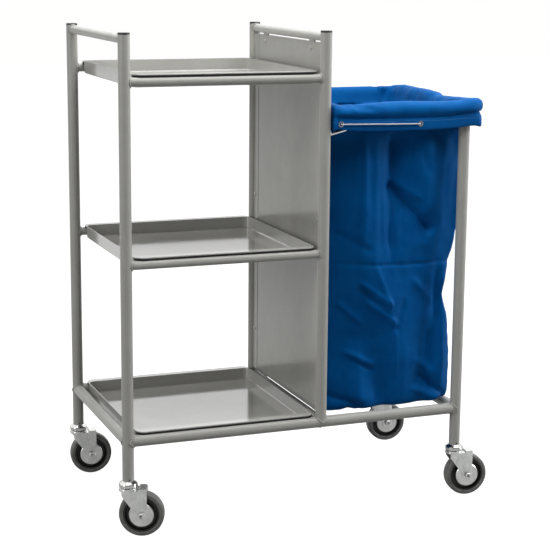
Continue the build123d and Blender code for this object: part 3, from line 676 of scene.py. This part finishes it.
def body_row(level, neck):
    """One ring of the hanging sack. level is its height, neck runs from 0 at the rim to 1 below it."""
    left = BODY_LEFT + 6.0 * (1 - neck)
    right = table(RIGHT_EDGE, level)
    front = BODY_FRONT - 7.0 * (1 - neck)
    rear = BODY_REAR + 4.0 * (1 - neck)
    points, outward, face, fade = ring(left, right, front, rear, SACK_CORNERS)
    x, y = points[:, 0], points[:, 1]
    z = np.full(len(x), float(level))
    low = np.clip((300 - level) / 74, 0, 1)
    across = np.where((face == 0) | (face == 2), x, 474 + (y - front) / (rear - front) * 316)
    mirrored = np.where(face == 2, 474 + 790 - across, across)
    shift = SIDE_SHIFT[face]
    drop = SIDE_DROP[face]
    lift = fold_at(np.clip(mirrored + shift, 474, 790), np.clip(level + drop, 226, 890))
    gain = SIDE_GAIN[face] * fade
    side = lift * gain * (0.25 + 0.75 * neck)
    side = np.where(face == 3, np.minimum(side, 1.0), side)
    side = np.where(face == 1, np.maximum(side, -2.0), side)
    side = side + noise_row(points, level, 70.0, 2.6, 1.7) * neck * np.where(face == 3, 0.4, 1.0)
    side = side + noise_row(points, level, 24.0, 1.1, 4.2) + noise_row(points, level, 9.0, 0.35, 6.6)
    ahead = fold_at(np.clip(x, 474, 790), np.clip(level, 226, 890)) * (0.25 + 0.75 * neck)
    ahead = ahead * np.where(face == 0, 1.0, np.clip(1 - (y - front) / 150.0, 0, 1))
    points = points + outward * side[:, None] + np.array([0.0, -1.0]) * ahead[:, None]
    bottom = table(BOTTOM_EDGE, x)
    z = z + low * (bottom - 226)
    return np.column_stack([points, z])


# The turn from the sides to the bottom: how far in, how far down.
BOTTOM_TURN = ((2.0, 4.5), (6.0, 8.0), (12.0, 10.0))
BOTTOM_RINGS = 16


def bag_grid():
    """The bag's rings from the hem's edge over the rim and down to the bottom, and their middle."""
    rows = [rim_row(k) for k in range(len(RIM))]
    for i in range(BODY_STEPS + 1):
        level = BODY_TOP + (BODY_BOTTOM - BODY_TOP) * i / BODY_STEPS
        neck = min(1.0, i / NECK_STEPS)
        neck = neck * neck * (3 - 2 * neck)
        rows.append(body_row(level, neck))
    edge = rows[-1].copy()
    middle = edge.mean(0)
    for inward, drop in BOTTOM_TURN:
        shrunk = edge.copy()
        away = edge[:, :2] - middle[:2]
        size = np.linalg.norm(away, axis=1)
        shrunk[:, :2] = edge[:, :2] - away * (inward / size)[:, None]
        shrunk[:, 2] = edge[:, 2] - drop
        rows.append(shrunk)
    last = rows[-1]
    for i in range(1, BOTTOM_RINGS):
        t = i / BOTTOM_RINGS
        inner = last.copy()
        inner[:, :2] = last[:, :2] * (1 - t) + middle[:2] * t
        inner[:, 2] = last[:, 2] + noise_row(inner[:, :2], 0.0, 40.0, 2.5, 9.0) * min(1, t * 4)
        rows.append(inner)
    return rows, middle


STITCH_ROW, STITCH_PITCH, STITCH_LENGTH, STITCH_R = 8, 4.4, 2.8, 0.42
SETTLE_FRAMES, SETTLE_REACH = 14, 2.5 * MM
CLOTH_THICKNESS = 0.9 * MM


def make_stitches(rows):
    """A line of sewing thread along the hem, just below the pinch."""
    row = np.vstack([rows[STITCH_ROW], rows[STITCH_ROW][:1]])
    steps = np.linalg.norm(np.diff(row, axis=0), axis=1)
    reach = np.concatenate([[0.0], np.cumsum(steps)])
    middle = row.mean(0)
    verts, faces = [], []
    for i in range(int(reach[-1] / STITCH_PITCH)):
        ends = []
        for d in (i * STITCH_PITCH, i * STITCH_PITCH + STITCH_LENGTH):
            ends.append(np.array([np.interp(d, reach, row[:, axis]) for axis in range(3)]))
        along = (ends[1] - ends[0]) / np.linalg.norm(ends[1] - ends[0])
        out = np.array([along[1], -along[0], 0.0])
        if np.dot(out, ends[0] - middle) < 0:
            out = -out
        up = np.array([0.0, 0.0, 1.0])
        first = len(verts)
        for t, wide, proud in ((0.0, 0.45, -0.1), (0.25, 1.0, 0.45), (0.75, 1.0, 0.45), (1.0, 0.45, -0.1)):
            spot = ends[0] * (1 - t) + ends[1] * t + out * proud
            for a in range(6):
                turn = tau * a / 6
                verts.append(at(*(spot + (out * cos(turn) + up * sin(turn)) * STITCH_R * wide)))
        for k in range(3):
            for a in range(6):
                p, q = first + k * 6 + a, first + k * 6 + (a + 1) % 6
                faces.append((p, q, q + 6, p + 6))
        faces.append(tuple(first + a for a in range(5, -1, -1)))
        faces.append(tuple(first + 18 + a for a in range(6)))
    thread = mesh_piece("hem_stitches", verts, faces, material=thread_material())


def settle(obj, frames, pin, reach):
    """Hangs the cloth from its pinned points for a moment, and keeps each point near its start."""
    scene = bpy.context.scene
    group = obj.vertex_groups.new(name="pin")
    for i, weight in enumerate(pin):
        group.add([i], float(weight), "REPLACE")
    cloth_mod = obj.modifiers.new("cloth", "CLOTH")
    settings = cloth_mod.settings
    settings.quality = 6
    settings.mass = 0.25
    settings.tension_stiffness = 40
    settings.compression_stiffness = 25
    settings.shear_stiffness = 12
    settings.bending_stiffness = 1.2
    settings.tension_damping = settings.compression_damping = 12
    settings.air_damping = 4
    settings.vertex_group_mass = "pin"
    cloth_mod.collision_settings.use_collision = False
    cloth_mod.point_cache.frame_start, cloth_mod.point_cache.frame_end = 1, frames
    scene.frame_start, scene.frame_end = 1, frames
    for f in range(1, frames + 1):
        scene.frame_set(f)
    depsgraph = bpy.context.evaluated_depsgraph_get()
    posed = obj.evaluated_get(depsgraph).to_mesh()
    count = len(obj.data.vertices)
    after = np.empty(count * 3, np.float32)
    posed.vertices.foreach_get("co", after)
    obj.evaluated_get(depsgraph).to_mesh_clear()
    before = np.empty(count * 3, np.float32)
    obj.data.vertices.foreach_get("co", before)
    move = (after - before).reshape(-1, 3)
    size = np.linalg.norm(move, axis=1, keepdims=True)
    move *= np.minimum(1.0, reach / np.maximum(size, 1e-9))
    obj.modifiers.remove(cloth_mod)
    obj.vertex_groups.remove(group)
    scene.frame_set(1)
    obj.data.vertices.foreach_set("co", (before.reshape(-1, 3) + move).ravel())
    obj.data.update()


def make_bag():
    rows, middle = bag_grid()
    count = len(rows[0])
    verts = [at(*p) for row in rows for p in row]
    faces = []
    for j in range(len(rows) - 1):
        for i in range(count):
            a, b = j * count + i, j * count + (i + 1) % count
            faces.append((a, b, b + count, a + count))
    verts.append(at(middle[0], middle[1], float(np.mean(rows[-1][:, 2]))))
    tip = len(verts) - 1
    start = (len(rows) - 1) * count
    faces += [(start + i, start + (i + 1) % count, tip) for i in range(count)]
    bag = mesh_piece("laundry_bag_cloth", verts, faces, material=MAT["bag_cloth"])
    make_stitches(rows)
    heights = np.array([v.z for v in verts]) / MM
    pin = np.clip((heights - 840) / 45, 0, 1) ** 2
    pin[: len(RIM) * count] = 1.0
    settle(bag, SETTLE_FRAMES, pin, SETTLE_REACH)
    shell = bag.modifiers.new("cloth_thickness", "SOLIDIFY")
    shell.thickness = CLOTH_THICKNESS
    shell.offset = 0.0
    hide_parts("laundry_bag")
    return bag


bag = make_bag()


# ---- floor, light and camera ----

FLOOR_GLOW = 0.95
WORLD_SOFT = 0.42
CEILING = 102
RIGHT_KEY = 66
LEFT_FILL = 36


def make_floor():
    """A pale floor, bright where it is seen or mirrored and dull where it only throws light back.
    What is mirrored is dimmer near the cart, so that the plated parts keep some contrast."""
    mat, net, shader, where = material("floor_pale")
    cloud = net.noise(where, 0.8, 2.0)
    colour = net.mix(cloud, (0.22, 0.22, 0.218), (0.24, 0.24, 0.238))
    path = net.tree.nodes.new("ShaderNodeLightPath")
    beyond = net.remap(net.split(where).outputs[1], 0.2, 1.6, 0.35, 1.0)
    mirrored = net.math("MULTIPLY", path.outputs["Is Glossy Ray"], beyond)
    shown = net.math("MAXIMUM", path.outputs["Is Camera Ray"], mirrored)
    plug(net, shader, colour=colour, rough=0.7, specular=0.1)
    shader.inputs["Emission Color"].default_value = (1.0, 1.0, 1.0, 1.0)
    net.tree.links.new(net.math("MULTIPLY", shown, FLOOR_GLOW), shader.inputs["Emission Strength"])
    size, steps = 14.0, 28
    verts, faces = [], []
    for j in range(steps + 1):
        for i in range(steps + 1):
            verts.append((-size + 2 * size * i / steps, -size + 2 * size * j / steps, 0.0))
    for j in range(steps):
        for i in range(steps):
            a = j * (steps + 1) + i
            faces.append((a, a + 1, a + steps + 2, a + steps + 1))
    floor = mesh_piece("floor", verts, faces, body=None, material=mat)


def soft_box(name, place, aim, width, height, power, tint=(1.0, 1.0, 1.0)):
    data = bpy.data.lights.new(name, "AREA")
    data.shape = "RECTANGLE"
    data.size, data.size_y = width, height
    data.energy = power
    data.color = tint
    obj = bpy.data.objects.new(name, data)
    obj.location = place
    obj.rotation_euler = (Vector(aim) - Vector(place)).to_track_quat("-Z", "Y").to_euler()
    bpy.context.scene.collection.objects.link(obj)


def make_light():
    world = bpy.data.worlds.new("studio")
    bpy.context.scene.world = world
    world.use_nodes = True
    tree = world.node_tree
    tree.nodes.clear()
    net = Nodes(tree)
    way = net.add("ShaderNodeTexCoord", output=0)
    axes = net.split(way)
    behind = net.math("MULTIPLY", axes.outputs[1], 0.80)
    overhead = net.math("MULTIPLY", axes.outputs[2], 0.45)
    glow = net.math("ADD", behind, overhead)
    soft = net.remap(glow, -0.50, 1.0, 0.04, WORLD_SOFT)
    rising = net.remap(axes.outputs[2], 0.06, 0.30, 0.45, 1.60)
    mirrored = net.math("MULTIPLY", net.remap(glow, -0.20, 0.55, 0.12, 1.0), rising)
    path = tree.nodes.new("ShaderNodeLightPath")
    level = net.math("ADD", net.math("MULTIPLY", mirrored, path.outputs["Is Glossy Ray"]),
                     net.math("MULTIPLY", soft, net.math("SUBTRACT", 1.0, path.outputs["Is Glossy Ray"])))
    seen = net.math("MAXIMUM", level, path.outputs["Is Camera Ray"])
    back = net.add("ShaderNodeBackground", {"Color": (1.0, 1.0, 0.995, 1.0), "Strength": seen})
    out = tree.nodes.new("ShaderNodeOutputWorld")
    tree.links.new(back, out.inputs["Surface"])
    soft_box("ceiling_light", (0.35, -0.40, 2.7), (0.15, -0.35, 0.0), 2.8, 2.8, CEILING)
    soft_box("right_side", (3.3, -1.0, 1.5), (0.2, 0.0, 0.6), 0.8, 1.8, RIGHT_KEY)
    soft_box("left_side", (-3.3, -0.9, 1.5), (-0.2, 0.0, 0.7), 0.9, 1.8, LEFT_FILL)


def make_camera():
    yaw, pitch, roll = radians(21.02239), radians(11.54453), radians(0.50248)
    ahead = Vector((sin(yaw) * cos(pitch), cos(yaw) * cos(pitch), -sin(pitch)))
    level = Vector((cos(yaw), -sin(yaw), 0.0))
    above = level.cross(ahead)
    right = level * cos(roll) + above * sin(roll)
    up = above * cos(roll) - level * sin(roll)
    data = bpy.data.cameras.new("camera")
    data.sensor_width = 36.0
    data.lens = 102.70
    data.clip_end = 100.0
    obj = bpy.data.objects.new("camera", data)
    rotation = Matrix((right, up, -ahead)).transposed().to_4x4()
    obj.matrix_world = Matrix.Translation(at(-875.8, -3160.2, 1251.0)) @ rotation
    bpy.context.scene.collection.objects.link(obj)
    bpy.context.scene.camera = obj


make_floor()
make_light()
make_camera()
bpy.context.scene.view_settings.view_transform = "Standard"
